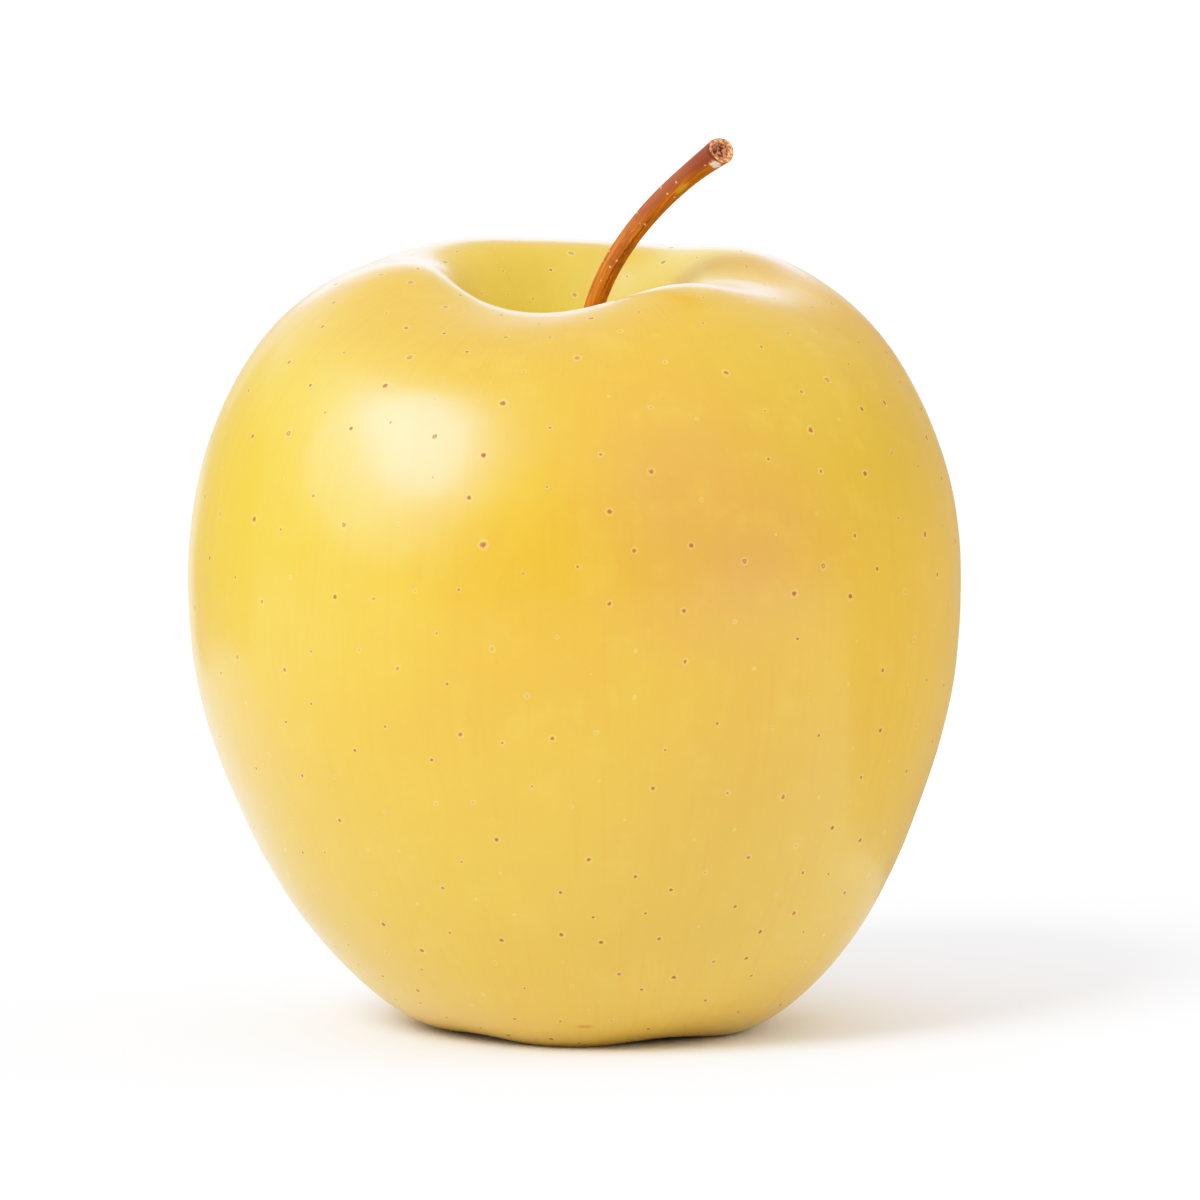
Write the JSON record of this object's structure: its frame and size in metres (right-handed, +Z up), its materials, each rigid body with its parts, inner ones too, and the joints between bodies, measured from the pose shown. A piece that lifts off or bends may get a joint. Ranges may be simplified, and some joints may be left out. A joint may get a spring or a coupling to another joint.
{
  "type": "whole yellow apple",
  "caption": "Whole yellow apple standing upright, with a curved brown stem in the cavity of its crown and a dried calyx in the basin below.",
  "frame": {"origin": "on the surface that the apple stands on, under the middle of its widest section", "axes": "+Z up along the core towards the stem, and the side shown in the picture faces -Y"},
  "size_m": [0.075, 0.075, 0.0863],
  "materials": {
    "skin": "semi-gloss waxy skin",
    "bark": "dry, slightly glossy bark",
    "dry_sepal": "dull and dry"
  },
  "bodies": {
    "root": {"fruit": "skin", "stem": "bark", "calyx": "dry_sepal"}
  },
  "joints": []
}
